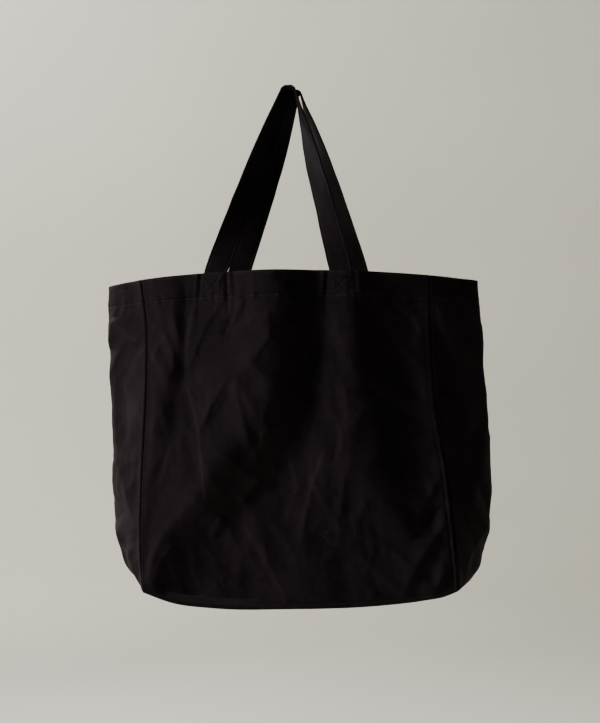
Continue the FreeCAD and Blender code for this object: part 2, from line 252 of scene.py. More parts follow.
def foldRelief(x, z, lines):
    # the broad folds: how far forward the cloth is between ridges and valleys
    count = 90
    levels = np.linspace(z.min(), z.max(), count)
    rows = np.array([[[along(line, level, i) for i in (1, 2)] for line in lines] for level in levels])
    at = np.clip((z - levels[0]) / (levels[-1] - levels[0]) * (count - 1), 0, count - 1.001)
    i = at.astype(int)
    t = (at - i)[..., None, None]
    mixed = rows[i] * (1 - t) + rows[i + 1] * t
    places, forward = mixed[..., 0], mixed[..., 1]
    gaps = np.maximum(np.diff(places, axis=-1), 1e-4)
    slopes = np.zeros(forward.shape)
    rises, runs = (v[..., 2:] - v[..., :-2] for v in (forward, places))
    slopes[..., 1:-1] = rises / np.maximum(runs, 1e-4)
    result = np.zeros(x.shape)
    for k in range(len(lines) - 1):
        share = (x - places[..., k]) / gaps[..., k]
        ends = (v[..., j] for v in (forward, slopes) for j in (k, k + 1))
        value = hermite(np.clip(share, 0, 1), gaps[..., k], *ends)
        result = np.where((share >= 0) & (share <= 1), value, result)
    return result


frontFolds = {
    # ridges and valleys from left to right, each from the bottom up: z, x, forward
    "lines": [
        [(-0.61, -0.195, 0), (-0.4, -0.182, 0), (-0.21, -0.192, 0)],
        [(-0.61, -0.186, 0), (-0.5, -0.176, 0.001), (-0.44, -0.168, 0.0035), (-0.39, -0.158, 0.005),
         (-0.33, -0.141, 0.005), (-0.28, -0.136, 0.0035), (-0.21, -0.14, 0.0015)],
        [(-0.61, -0.178, 0), (-0.5, -0.16, 0), (-0.44, -0.146, 0.001), (-0.39, -0.132, 0.0004),
         (-0.34, -0.1195, -0.001), (-0.28, -0.1195, -0.0012), (-0.21, -0.12, 0)],
        [(-0.61, -0.173, 0.001), (-0.57, -0.168, 0.003), (-0.53, -0.154, 0.0034), (-0.49, -0.131, 0.004),
         (-0.45, -0.11, 0.005), (-0.4, -0.085, 0.005), (-0.31, -0.064, 0.004), (-0.21, -0.064, 0.0004)],
        [(-0.61, -0.166, 0.002), (-0.57, -0.16, 0.0055), (-0.53, -0.142, 0.0072), (-0.49, -0.104, 0.0088),
         (-0.45, -0.075, 0.01), (-0.4, -0.032, 0.011), (-0.31, -0.008, 0.011), (-0.21, -0.008, 0.0085)],
        [(-0.61, -0.108, -0.0045), (-0.57, -0.098, -0.0062), (-0.54, -0.086, -0.0062),
         (-0.51, -0.056, -0.0055), (-0.46, -0.006, -0.0062), (-0.4, 0.021, -0.007),
         (-0.31, 0.038, -0.0075), (-0.21, 0.041, -0.006)],
        [(-0.61, 0.04, 0), (-0.55, 0.045, 0.001), (-0.49, 0.06, 0.0025), (-0.4, 0.062, 0.002),
         (-0.31, 0.062, 0.0008), (-0.21, 0.062, -0.0005)],
        [(-0.61, 0.15, 0), (-0.55, 0.138, 0.004), (-0.47, 0.122, 0.0075), (-0.4, 0.101, 0.0092),
         (-0.31, 0.088, 0.0088), (-0.21, 0.085, 0.0035)],
        [(-0.61, 0.182, 0), (-0.55, 0.176, -0.0005), (-0.47, 0.164, -0.004), (-0.4, 0.146, -0.0055),
         (-0.31, 0.12, -0.0035), (-0.21, 0.106, -0.002)],
        [(-0.61, 0.212, 0), (-0.4, 0.184, 0), (-0.21, 0.178, 0)],
    ],
    # height, spread to the left and right, points x and z, how soon it fades out
    "creases": [
        (0.0022, 0.004, 0.01, [(-0.1215, -0.338), (-0.1, -0.405), (-0.093, -0.45), (-0.088, -0.5)]),
        (0.0012, 0.002, 0.01, [(-0.112, -0.262), (-0.118, -0.3), (-0.121, -0.345)]),
        (0.002, 0.005, 0.004, [(-0.044, -0.25), (-0.06, -0.281)]),
        (-0.0016, 0.004, 0.005, [(-0.058, -0.268), (-0.074, -0.296)]),
        (0.002, 0.007, 0.005, [(-0.014, -0.262), (-0.01, -0.292), (-0.04, -0.335)]),
        (0.0022, 0.005, 0.004, [(-0.056, -0.346), (-0.05, -0.371), (-0.038, -0.404), (-0.024, -0.428)]),
        (-0.0012, 0.004, 0.007, [(-0.058, -0.352), (-0.076, -0.383), (-0.097, -0.412)]),
        (0.0012, 0.005, 0.003, [(-0.06, -0.336), (-0.083, -0.374), (-0.106, -0.42)]),
        (0.0018, 0.004, 0.004, [(-0.012, -0.395), (-0.03, -0.433), (-0.042, -0.446)]),
        (0.002, 0.006, 0.004, [(-0.026, -0.46), (-0.052, -0.49)]),
        (0.0018, 0.005, 0.004, [(-0.072, -0.505), (-0.088, -0.534)]),
        (0.0017, 0.003, 0.005, [(-0.052, -0.508), (-0.026, -0.542), (-0.004, -0.58), (0.012, -0.606)], 0.1),
        (0.002, 0.004, 0.006, [(0.054, -0.425), (0.037, -0.468), (0.027, -0.512), (0.021, -0.532)]),
        (-0.0018, 0.003, 0.005, [(0.12, -0.248), (0.142, -0.27), (0.161, -0.296)]),
        (-0.0016, 0.004, 0.006, [(0.14, -0.341), (0.158, -0.362), (0.172, -0.374)]),
        (0.0034, 0.006, 0.005, [(0.194, -0.438), (0.178, -0.462), (0.16, -0.5)]),
        (0.0046, 0.008, 0.006, [(0.2, -0.496), (0.18, -0.52), (0.158, -0.56), (0.146, -0.59)]),
        (0.0044, 0.009, 0.006, [(0.208, -0.545), (0.192, -0.562), (0.17, -0.596)]),
        (-0.003, 0.006, 0.007, [(0.195, -0.48), (0.176, -0.498), (0.15, -0.53)]),
        (0.0014, 0.003, 0.007, [(0.078, -0.238), (0.108, -0.262), (0.15, -0.318)]),
        (-0.0014, 0.005, 0.003, [(0.098, -0.348), (0.126, -0.372), (0.156, -0.388)]),
        (0.0009, 0.006, 0.003, [(-0.122, -0.338), (-0.09, -0.332), (-0.058, -0.336)]),
        (0.0012, 0.006, 0.003, [(-0.068, -0.246), (-0.096, -0.282), (-0.118, -0.336)]),
        (0.0012, 0.003, 0.007, [(-0.136, -0.42), (-0.15, -0.462), (-0.17, -0.5)]),
        (0.0012, 0.003, 0.006, [(0.01, -0.436), (0.018, -0.47), (0.002, -0.52)]),
        (0.0016, 0.004, 0.004, [(-0.078, -0.584), (-0.1, -0.608)], 0.1),
        (0.0016, 0.004, 0.004, [(0.114, -0.584), (0.092, -0.606)], 0.1),
        (0.0014, 0.004, 0.004, [(-0.134, -0.54), (-0.152, -0.57), (-0.158, -0.592)]),
        (0.0012, 0.003, 0.004, [(-0.14, -0.288), (-0.158, -0.306), (-0.172, -0.326)]),
    ],
    "crumple": 0.0005,
    "facets": 0.0015,
    "seed": 11,
}

backFolds = {
    "lines": [
        [(-0.61, -0.195, 0), (-0.4, -0.186, 0), (-0.21, -0.192, 0)],
        [(-0.61, -0.15, 0), (-0.5, -0.132, -0.003), (-0.4, -0.128, -0.005), (-0.3, -0.112, -0.004),
         (-0.21, -0.104, -0.002)],
        [(-0.61, -0.08, 0), (-0.5, -0.07, 0.005), (-0.4, -0.076, 0.007), (-0.3, -0.074, 0.006),
         (-0.21, -0.074, 0.0008)],
        [(-0.61, 0.01, -0.001), (-0.5, 0.004, -0.005), (-0.4, -0.014, -0.007), (-0.3, -0.022, -0.007),
         (-0.21, -0.02, -0.005)],
        [(-0.61, 0.07, 0), (-0.5, 0.078, 0.005), (-0.4, 0.052, 0.008), (-0.3, 0.036, 0.0085),
         (-0.21, 0.02, 0.0065)],
        [(-0.61, 0.105, 0), (-0.5, 0.108, 0.002), (-0.4, 0.092, 0.003), (-0.3, 0.076, 0.002),
         (-0.21, 0.06, 0.0006)],
        [(-0.61, 0.14, 0), (-0.5, 0.142, -0.004), (-0.4, 0.128, -0.005), (-0.3, 0.112, -0.004),
         (-0.21, 0.102, -0.002)],
        [(-0.61, 0.212, 0), (-0.4, 0.184, 0), (-0.21, 0.178, 0)],
    ],
    "creases": [
        (0.002, 0.004, 0.007, [(0.092, -0.26), (0.12, -0.3), (0.15, -0.36)]),
        (-0.002, 0.005, 0.006, [(-0.09, -0.262), (-0.112, -0.31), (-0.15, -0.352)]),
        (0.0018, 0.006, 0.004, [(-0.056, -0.256), (-0.03, -0.33), (-0.036, -0.4)]),
        (-0.0016, 0.005, 0.005, [(0.05, -0.258), (0.034, -0.3), (0.012, -0.33)]),
        (0.002, 0.005, 0.005, [(0.03, -0.4), (0.052, -0.45), (0.06, -0.52)]),
        (0.0018, 0.003, 0.006, [(-0.06, -0.48), (-0.03, -0.53), (-0.012, -0.59)]),
        (0.003, 0.008, 0.006, [(-0.176, -0.5), (-0.15, -0.53), (-0.128, -0.584)]),
        (0.0022, 0.006, 0.006, [(-0.18, -0.44), (-0.158, -0.47), (-0.146, -0.51)]),
        (0.0028, 0.008, 0.006, [(0.19, -0.49), (0.164, -0.52), (0.146, -0.57)]),
        (0.0016, 0.004, 0.004, [(0.1, -0.42), (0.082, -0.45), (0.088, -0.49)]),
    ],
    "crumple": 0.0006,
    "facets": 0.0017,
    "seed": 37,
}

leftFolds = {
    # creases as above, with y for x; forward is outward
    "creases": [
        (-0.0022, 0.005, 0.005, [(-0.03, -0.3), (-0.014, -0.35), (-0.022, -0.4)]),
        (0.002, 0.004, 0.004, [(-0.008, -0.27), (-0.02, -0.292), (-0.034, -0.3)]),
        (0.0022, 0.005, 0.005, [(-0.01, -0.44), (-0.024, -0.48), (-0.036, -0.52)]),
        (0.0024, 0.005, 0.006, [(0.024, -0.3), (0.012, -0.37), (0.02, -0.44)]),
        (0.0034, 0.006, 0.006, [(-0.046, -0.575), (-0.02, -0.545), (0, -0.515)]),
        (0.0034, 0.006, 0.006, [(0.046, -0.575), (0.022, -0.54), (0, -0.515)]),
    ],
    "crumple": 0.0005,
    "facets": 0.0013,
    "seed": 83,
}

rightFolds = {
    "creases": [
        (0.0026, 0.004, 0.006, [(-0.031, -0.245), (-0.022, -0.3), (-0.016, -0.36), (-0.02, -0.43)]),
        (0.0026, 0.005, 0.006, [(-0.006, -0.4), (-0.012, -0.45), (-0.03, -0.5)]),
        (-0.0022, 0.005, 0.005, [(0.01, -0.26), (0.022, -0.33), (0.012, -0.4)]),
        (0.0034, 0.006, 0.006, [(-0.044, -0.56), (-0.02, -0.53), (0, -0.505)]),
        (0.0034, 0.006, 0.006, [(0.044, -0.565), (0.02, -0.535), (0, -0.505)]),
    ],
    "crumple": 0.0005,
    "facets": 0.0013,
    "seed": 61,
}

wallFolds = {"front": frontFolds, "back": backFolds, "left": leftFolds, "right": rightFolds}

sewing = {
    "hemRow": 0.028,          # below the turned edge
    "edgeRow": 0.0050,        # from a side or bottom seam of the front and back
    "rowEnd": 0.003,          # from a seam or a strap's end to the first stitch
    "stitchLength": 0.0027,
    "stitchGap": 0.0008,
    "threadWidth": 0.00056,
    "boxSize": 0.022,
    "boxTop": 0.0040,         # below the turned edge
    "strapSpacing": 0.0775,
    "strapDrift": -0.0080,
}

pucker = {
    # height of each, and its length or width
    "hemGroove": (0.00055, 0.0013),      # at the stitch row of the turned edge
    "hemRipple": (0.00045, 0.011),       # waves beside that row
    "hemRippleReach": 0.006,
    "hemUnevenness": (0.0003, 0.016),    # slow waves between the edge and the row
    "hemPuff": 0.0006,
    "boxPuff": (0.0012, 0.0014),         # between the lines of a crossed square
    "boxSink": 0.0002,
    "pleatWidth": 0.0022,                # small pleats beside a sewn strap end
    "pleatFade": 0.022,                  # and how fast they die out below it
    "pleats": ((-0.021, 0.0011), (-0.0165, -0.0009), (0.0165, -0.0010), (0.0205, 0.0012), (0.026, -0.0006)),
}


def strapX(side):
    return side * sewing["strapSpacing"] + sewing["strapDrift"]


def boxLines(side):
    # the crossed square that holds a strap end: pairs of points, x and depth below the edge
    middle, half = strapX(side), sewing["boxSize"] / 2
    top, foot = sewing["boxTop"], sewing["boxTop"] + sewing["boxSize"]
    a, b, c, d = (middle - half, top), (middle + half, top), (middle + half, foot), (middle - half, foot)
    return [(a, b), (b, c), (c, d), (d, a), (a, c), (b, d)]


def puckers(x, z, seed):
    # what the sewing does to the top of the front or back
    below = hemZ(x) - z
    row = below - sewing["hemRow"]
    (groove, width), (ripple, rippleLength), (uneven, unevenLength), (puff, softness) = (
        pucker[name] for name in ("hemGroove", "hemRipple", "hemUnevenness", "boxPuff"))
    relief = -groove * bell(row, width)
    nearRow = np.exp(-np.abs(row) / pucker["hemRippleReach"])
    relief += ripple * waves(x, z * 0.15, rippleLength, seed) * nearRow
    inHem = smooth(-0.002, 0.004, below) * smooth(0.034, 0.026, below)
    relief += uneven * waves(x, z * 0.2, unevenLength, seed + 3) * inHem
    overRow = smooth(sewing["hemRow"], sewing["hemRow"] - 0.004, below)
    relief += pucker["hemPuff"] * smooth(0.0, 0.004, below) * overRow
    for side in (-1, 1):
        middle, half = strapX(side), sewing["boxSize"] / 2
        inside = smooth(half + 0.003, half - 0.001, np.abs(x - middle))
        inside = inside * smooth(-0.001, 0.003, below - sewing["boxTop"] + 0.003)
        inside = inside * smooth(0.031, 0.026, below)
        nearest = np.full(x.shape, 1.0)
        for (ax, az), (bx, bz) in boxLines(side):
            dx, dz = bx - ax, bz - az
            t = np.clip(((x - ax) * dx + (below - az) * dz) / math.hypot(dx, dz) ** 2, 0, 1)
            nearest = np.minimum(nearest, np.hypot(x - ax - t * dx, below - az - t * dz))
        relief += inside * (puff * (1 - np.exp(-nearest / softness)) - pucker["boxSink"])
        fade = np.exp(-np.maximum(below - 0.02, 0) / pucker["pleatFade"])
        for offset, height in pucker["pleats"]:
            across = x - middle - offset * (1 + below * 4)
            relief += height * bell(across, pucker["pleatWidth"]) * fade
    return relief


# sizes of the small folds: the net of creases, then width, height and size of facets; lean as the cloth hangs
panelForm = {"net": 0.075, "facets": ((1.25, 0.70, 0.085), (1.15, 0.80, 0.040)), "lean": 0.25}
gussetForm = {"net": 0.060, "facets": ((1.2, 0.7, 0.070), (1.0, 0.8, 0.034)), "lean": 0.0}


def looseFolds(x, z, folds, form, patchy):
    # crumples, facets of two sizes and a slight unevenness, and the net of worn creases
    seed, leaning = folds["seed"], x + form["lean"] * z
    net = crumple(x, z, form["net"], seed)
    large, small = (facets(leaning * wide, z * tall, size, seed + extra)
                    for (wide, tall, size), extra in zip(form["facets"], (31, 41)))
    relief = folds["crumple"] * (net - 0.35) * patchy + folds["facets"] * (large + 0.3 * small * patchy)
    return relief + 0.00007 * waves(x, z, 0.012, seed + 6), net


def creasesOf(x, z, folds):
    return sum(creaseHeight(x, z, crease) for crease in folds["creases"])


def wornCreases(sharp, net):
    return np.clip(np.clip(np.abs(sharp) / 0.0024, 0, 1) * 0.8 + 0.35 * net, 0, 1)


def panelRelief(wall, x, z):
    # how far the front or back stands forward of its plain shape, and a mask of the worn creases
    folds = wallFolds[wall]
    seed, sharp = folds["seed"], creasesOf(x, z, folds)
    patchy = 0.35 + 0.65 * smooth(-0.4, 0.7, waves(x, z, 0.13, seed + 7))
    loose, net = looseFolds(x, z, folds, panelForm, patchy)
    calmHem = 0.35 + 0.65 * smooth(0.0, 0.060, hemZ(x) - z)
    relief = foldRelief(x, z, folds["lines"]) + sharp + loose * calmHem + puckers(x, z, seed + 20)
    return relief, wornCreases(sharp, net * patchy)


def gussetRelief(wall, y, z, arc):
    folds = wallFolds[wall]
    sharp = creasesOf(y, z, folds)
    loose, net = looseFolds(arc, z, folds, gussetForm, 1.0)
    row = bag["hemZ"] - 0.010 - z - sewing["hemRow"]
    ripple = 0.0004 * waves(arc, z * 0.15, 0.010, folds["seed"] + 2) * np.exp(-np.abs(row) / 0.006)
    return sharp + loose + ripple - 0.0005 * bell(row, 0.0013), wornCreases(sharp, net)


seamShape = {
    "panelCalm": (0.018, 0.016),      # how near a side seam and the bottom seam the folds die out
    "gussetCalm": (0.014, 0.014),
    "calmest": 0.08,                  # share of the folds that is left at a seam
    "panelPuff": (0.0026, 0.0017),    # the rounded edge of front and back: how far in, and width
    "plainPuff": (0.0028, 0.0016),    # and of the gussets and the bottom
    "groove": 0.0009,                 # width of the groove at a stitch row
    "pucker": (0.0004, 0.013, 0.007),          # height, length and reach, on front and back
    "gussetPucker": (0.00035, 0.012, 0.006),
}


def calmed(relief, fromSeam, up, reach):
    calmest = seamShape["calmest"]
    return relief * (calmest + (1 - calmest) * smooth(0.0, reach[0], fromSeam) * smooth(0.0, reach[1], up))


def panelEdges(relief, a, up, fromSeam, rightSide, seed):
    # beside its seams the front or back lies flat, with a puffed edge, a stitched groove and puckers
    relief = calmed(relief, fromSeam, up, seamShape["panelCalm"])
    groove, (puffAt, width), (height, length, reach) = (
        seamShape[name] for name in ("groove", "panelPuff", "pucker"))
    belowHem = smooth(0.0, 0.010, bag["panelHeight"] - bag["hemDepth"] - up)
    relief += (0.0002 + 0.0009 * rightSide) * bell(fromSeam - puffAt, width)
    relief -= (0.0002 + 0.0006 * rightSide) * bell(fromSeam - sewing["edgeRow"], groove) * belowHem
    relief += 0.0005 * bell(up - puffAt, width) - 0.0006 * bell(up - sewing["edgeRow"], groove)
    relief += height * waves(a * 0.2, up, length, seed + 9) * np.exp(-fromSeam / reach)
    return relief + height * waves(a, up * 0.2, length, seed + 10) * np.exp(-up / reach)


def gussetEdges(relief, a, up, fromSeam, seed):
    relief = calmed(relief, fromSeam, up, seamShape["gussetCalm"])
    (puffAt, width), (height, length, reach) = seamShape["plainPuff"], seamShape["gussetPucker"]
    relief += height * waves(a * 0.2, up, length, seed + 9) * np.exp(-fromSeam / reach)
    return relief + 0.0004 * bell(fromSeam - puffAt, width)


# ---- meshes: closed sheets of cloth, and tubes of rings

def directions(points, axis):
    # unit direction at each point of a grid along one of its axes
    steps = unit(np.diff(points, axis=axis))
    first, last = np.take(steps, [0], axis), np.take(steps, [-1], axis)
    return unit(np.concatenate([first, steps], axis) + np.concatenate([steps, last], axis))


def gridNormals(points):
    return unit(np.cross(directions(points, 1), directions(points, 0)))


def makeMesh(name, points, faces, material, flat=None, worn=None):
    # flat gives the places on the uncut cloth, worn a mask of rubbed places
    mesh = bpy.data.meshes.new(name)
    mesh.from_pydata(np.asarray(points).reshape(-1, 3).tolist(), [], faces)
    mesh.materials.append(material)
    mesh.polygons.foreach_set("use_smooth", [True] * len(mesh.polygons))
    if flat is not None:
        corners = np.zeros(len(mesh.loops), dtype=np.int32)
        mesh.loops.foreach_get("vertex_index", corners)
        layer = mesh.uv_layers.new(name="cloth")
        layer.data.foreach_set("uv", flat.reshape(-1, 2)[corners].astype(np.float32).ravel())
    if worn is not None:
        wear = mesh.attributes.new("wear", "FLOAT", "POINT")
        wear.data.foreach_set("value", worn.ravel().astype(np.float32))
    mesh.update()
    item = bpy.data.objects.new(name, mesh)
    bpy.context.scene.collection.objects.link(item)
    return item


def turnOutward(item):
    # makes the faces of a closed mesh look outward
    shape = bmesh.new()
    shape.from_mesh(item.data)
    bmesh.ops.recalc_face_normals(shape, faces=shape.faces)
    shape.to_mesh(item.data)
    shape.free()


def tubeFaces(count, sides, first=0):
    # the sides and both ends of a tube with count rings; first is the number of its first point
    ring, k = np.divmod(np.arange((count - 1) * sides), sides)
    ring, after = first + ring * sides, (k + 1) % sides
    quads = np.stack([ring + k, ring + after, ring + sides + after, ring + sides + k], -1)
    end = first + np.arange(sides)
    return quads.tolist() + [end[::-1].tolist(), (end + (count - 1) * sides).tolist()]


def clothSheet(name, middle, across, rows, worn):
    # a sheet with real thickness from a grid of points on its middle; across and rows are flat sizes
    half = bag["clothThickness"] / 2
    normals = gridNormals(middle)
    outer, inner = middle + normals * half, middle - normals * half
    index = np.arange(middle[..., 0].size).reshape(middle.shape[:2])
    under = index + index.size
    rim = np.concatenate([index[0], index[1:, -1], index[-1, -2::-1], index[-2:0:-1, 0]])
    around = np.roll(rim, -1)
    quads = np.concatenate([
        np.stack([index[:-1, :-1], index[:-1, 1:], index[1:, 1:], index[1:, :-1]], -1).reshape(-1, 4),
        np.stack([under[:-1, :-1], under[1:, :-1], under[1:, 1:], under[:-1, 1:]], -1).reshape(-1, 4),
        np.stack([around, rim, rim + index.size, around + index.size], -1),
    ])
    flat = np.stack(np.meshgrid(across, rows), -1)
    points, flats, wear = (np.stack(pair) for pair in ((outer, inner), (flat, flat), (worn, worn)))
    item = makeMesh(name, points, quads.tolist(), canvas, flats, wear)
    return {"item": item, "across": across, "rows": rows, "normals": normals, "outer": outer}


def spaced(length, step, fine=(), fineStep=0.0015, farEdge=True):
    # distances along one side of a panel, close together at its seams and in the fine stretches
    edge = [0, 0.0003, 0.0008, 0.0014, 0.0021, 0.0030, 0.0040, 0.0050, 0.0061]
    places = list(edge)
    end = length - edge[-1] if farEdge else length
    while places[-1] < end - step * 0.6:
        narrow = any(a <= places[-1] <= b for a, b in fine)
        places.append(places[-1] + (fineStep if narrow else step))
    places[-1] = end
    before = [-bag["seamAllowance"], -bag["seamAllowance"] / 2]
    after = [length - d for d in reversed(before + edge[:-1])] if farEdge else []
    return np.array(before + places + after)


def roll(distance):
    # how far the cloth has turned in, near a seam
    share = np.clip(1 - distance / bag["seamRoll"], 0, 1)
    return bag["seamRoll"] * (1 - np.sqrt(np.maximum(1 - share**2, 0)))


def beyond(distance, length):
    # how far a place is out in the seam allowance
    return np.maximum(-distance, 0) + np.maximum(distance - length, 0)


grid = {
    "step": (0.0020, 0.00215),   # across and up a wall
    "bottomStep": 0.0022,
    "hemStep": 0.0013,
    "hemFine": 0.036,            # height of the fine stretch at the hem
    "strapFine": 0.026,          # half width of the fine stretch at a strap end
    "turnRows": 6,
    "insideRows": 17,
    "normalRows": 120,
}


def wallSheet(name, wall, width):
    isPanel = wall in ("front", "back")
    height, gap = bag["panelHeight"], bag["flangeGap"]
    zones = []
    if isPanel:
        for side in (-1, 1):
            middle = width / 2 + strapX(side) * (1 if wall == "front" else -1) * 1.07
            zones.append((middle - grid["strapFine"], middle + grid["strapFine"]))
    across = spaced(width, grid["step"][0], zones)
    up = spaced(height, grid["step"][1], [(height - grid["hemFine"], height)], grid["hemStep"], farEdge=False)
    turn = np.linspace(0, math.pi, grid["turnRows"])[1:]
    inside = np.linspace(0, bag["hemDepth"], grid["insideRows"])[1:]
    level = np.concatenate([up, np.full(len(turn), height), height - inside])
    share = 2 * np.clip(across, gap, width - gap) / width - 1
    down = 1 - np.clip(level, gap, height) / height
    a, h = np.meshgrid(across, level)
    shares, downs = np.meshgrid(share, down)
    base = wallPoint(wall, shares, downs)
    last = grid["normalRows"] - 1
    plain = gridNormals(wallPoint(wall, *np.meshgrid(share, np.linspace(1, 0, last + 1))))
    normals = plain[np.clip(((1 - down) * last).round().astype(int), 0, last)]
    # folds and seams
    fromSeam, seed = np.minimum(a, width - a), wallFolds[wall]["seed"]
    if isPanel:
        relief, worn = panelRelief(wall, base[..., 0], base[..., 2])
        rightSide = (base[..., 0] > 0) * smooth(0.35, 0.75, downs)
        relief = panelEdges(relief, a, h, fromSeam, rightSide, seed)
    else:
        relief, worn = gussetRelief(wall, base[..., 1], base[..., 2], a)
        relief = gussetEdges(relief, a, h, fromSeam, seed)
    points = base + normals * relief[..., None]
    signs = np.sign(base[..., :2])
    points[..., :2] -= unit(signs * bag["seamWay"]) * (roll(a) + roll(width - a))[..., None]
    points[..., :2] -= signs * bag["allowanceWay"] * beyond(a, width)[..., None]
    inAndUp = (np.array([0, 0, 1]) - normals) * bag["bottomWay"]
    points += inAndUp * (roll(h) + np.maximum(-h, 0))[..., None]
    # the hem turned over to the inside
    radius = bag["hemTurn"]
    angles = np.concatenate([0 * up, turn, 0 * inside + math.pi])
    points -= normals * (bag["clothThickness"] / 2 + radius * (1 - np.cos(angles)))[:, None, None]
    points[..., 2] += (radius * np.sin(angles))[:, None]
    onEdge = (level > height - 0.002)[:, None]
    worn = np.maximum(np.maximum(worn * 0.8, onEdge * 0.9), 0.6 * np.exp(-np.maximum(fromSeam, 0) / 0.0016))
    lengthUp = np.concatenate([up, height + radius * turn, height + radius * math.pi + inside])
    return {**clothSheet(name, points, across, lengthUp, worn), "width": width}


def bottomSheet(name):
    # a patch between the lower edges of the four walls; its rows run from back to front, so that
    # the outside of the cloth faces down
    width, depth, gap, way = bag["panelWidth"], bag["gussetWidth"], bag["flangeGap"], bag["bottomWay"]
    across, forward = spaced(width, grid["bottomStep"]), spaced(depth, grid["bottomStep"])
    u = np.clip(across, gap, width - gap) / width
    w = np.clip(forward, gap, depth - gap) / depth
    uu, ww = np.meshgrid(u, w)
    u1, w1 = uu[..., None], ww[..., None]
    shares = {"back": 1 - 2 * u, "front": 2 * u - 1, "left": 2 * w - 1, "right": 1 - 2 * w}
    backEdge, frontEdge, leftEdge, rightEdge = (
        wallPoint(wall, share, np.ones_like(share)) for wall, share in shares.items())
    base = backEdge[None] * (1 - w1) + frontEdge[None] * w1
    base = base + leftEdge[:, None] * (1 - u1) + rightEdge[:, None] * u1
    for wall, share in (("back", 1 - w1), ("front", w1)):
        start = 1.0 if wall == "back" else -1.0
        leftCorner, rightCorner = wallPoint(wall, np.array([start, -start]), np.ones(2))
        base -= share * (leftCorner * (1 - u1) + rightCorner * u1)
    a, f = np.meshgrid(across, forward)
    edge = np.minimum(np.minimum(a, width - a), np.minimum(f, depth - f))
    net = partial(crumple, length=0.07, seed=411)
    x, y = base[..., 0], base[..., 1]
    loose = 0.0010 * waves(x, y, 0.060, 401) + 0.0007 * (net(x, y) - 0.35)
    sag = bag["bottomSag"] * np.sin(np.pi * uu) * np.sin(np.pi * ww)
    base[..., 2] -= sag + loose * smooth(0, 0.018, edge)
    puffAt, puffWidth = seamShape["plainPuff"]
    base[..., 2] -= 0.0005 * bell(edge - puffAt, puffWidth)
    for distance, size, axis, towards in ((f, depth, 1, ww > 0.5), (a, width, 0, uu < 0.5)):
        lift = way * (roll(distance) + roll(size - distance) + beyond(distance, size))
        base[..., 2] += lift
        base[..., axis] += np.where(towards, lift, -lift)
    base[..., 2] += bag["clothThickness"] / 2
    worn = 0.6 * np.exp(-np.maximum(edge, 0) / 0.003) + 0.2 * net(x, y)
    return clothSheet(name, base, across, forward, np.clip(worn, 0, 1))


# ---- materials

def nodeGroup(name, inputs, outputs):
    group = bpy.data.node_groups.new(name, "ShaderNodeTree")
    for label, kind, value in inputs:
        socket = group.interface.new_socket(label, in_out="INPUT", socket_type="NodeSocket" + kind)
        if value is not None:
            socket.default_value = value
    for label in outputs:
        group.interface.new_socket(label, in_out="OUTPUT", socket_type="NodeSocketFloat")
    return group, group.nodes.new("NodeGroupInput").outputs, group.nodes.new("NodeGroupOutput").inputs


def join(tree, value, socket):
    # a link where the value is a socket, or else a setting
    if isinstance(value, bpy.types.NodeSocket):
        tree.links.new(value, socket)
    else:
        socket.default_value = value


def addNode(tree, kind, out, inputs=(), **settings):
    # a node with its settings and inputs, and one of its outputs
    node = tree.nodes.new("ShaderNode" + kind)
    for name, value in settings.items():
        setattr(node, name, value)
    for name, value in dict(inputs).items():
        join(tree, value, node.inputs[name])
    return node.outputs[out]


def calculate(tree, operation, *values, clamp=False):
    return addNode(tree, "Math", 0, enumerate(values), operation=operation, use_clamp=clamp)


def mixColour(tree, amount, a, b):
    # a and b are the seventh and eighth inputs of the node, after those for numbers and vectors
    a, b = ((*c, 1) if isinstance(c, tuple) else c for c in (a, b))
    return addNode(tree, "Mix", 2, {"Factor": amount, 6: a, 7: b}, data_type="RGBA")


def noise(tree, vector, scale, detail=3.0, roughness=0.55):
    values = {"Vector": vector, "Scale": scale, "Detail": detail, "Roughness": roughness}
    return addNode(tree, "TexNoise", "Fac", values)


def ramp(tree, value, low, high):
    values = {"Value": value, "From Min": low, "From Max": high}
    return addNode(tree, "MapRange", "Result", values, interpolation_type="SMOOTHSTEP")


def weaveGroup():
    # plain weave from flat cloth coordinates in metres
    group, given, result = nodeGroup(
        "plain weave",
        [("Vector", "Vector", None), ("Yarn Pitch", "Float", 0.0008), ("Unevenness", "Float", 0.35)],
        ["Height", "Yarn Tone"],
    )
    calc, place = partial(calculate, group), given["Vector"]
    split = addNode(group, "SeparateXYZ", 0, {0: place}).node
    shift = calc("MULTIPLY", calc("SUBTRACT", noise(group, place, 260.0, 2.0), 0.5), given["Unevenness"])
    yarns = [calc("ADD", calc("DIVIDE", split.outputs[axis], given["Yarn Pitch"]), shift) for axis in "XY"]
    crests = [calc("ABSOLUTE", calc("SINE", calc("MULTIPLY", yarn, math.pi))) for yarn in yarns]
    cells = calc("ADD", calc("FLOOR", yarns[0]), calc("FLOOR", yarns[1]))
    parity = calc("FLOORED_MODULO", cells, 2.0)
    warp, weft = (calc("MULTIPLY", over, calc("MULTIPLY_ADD", under, 0.45, 0.55))
                  for over, under in (crests, crests[::-1]))
    first = calc("MULTIPLY", warp, parity)
    second = calc("MULTIPLY", weft, calc("SUBTRACT", 1.0, parity))
    group.links.new(calc("ADD", first, second), result["Height"])
    # each yarn has its own tone, thick and thin along its length
    slubs = [noise(group, addNode(group, "Mapping", 0, {"Scale": scale, "Vector": place}), 1100.0, 2.0)
             for scale in ((1.0, 0.05, 1.0), (0.05, 1.0, 1.0))]
    group.links.new(calc("MULTIPLY", calc("ADD", *slubs), 0.5), result["Yarn Tone"])
    return group


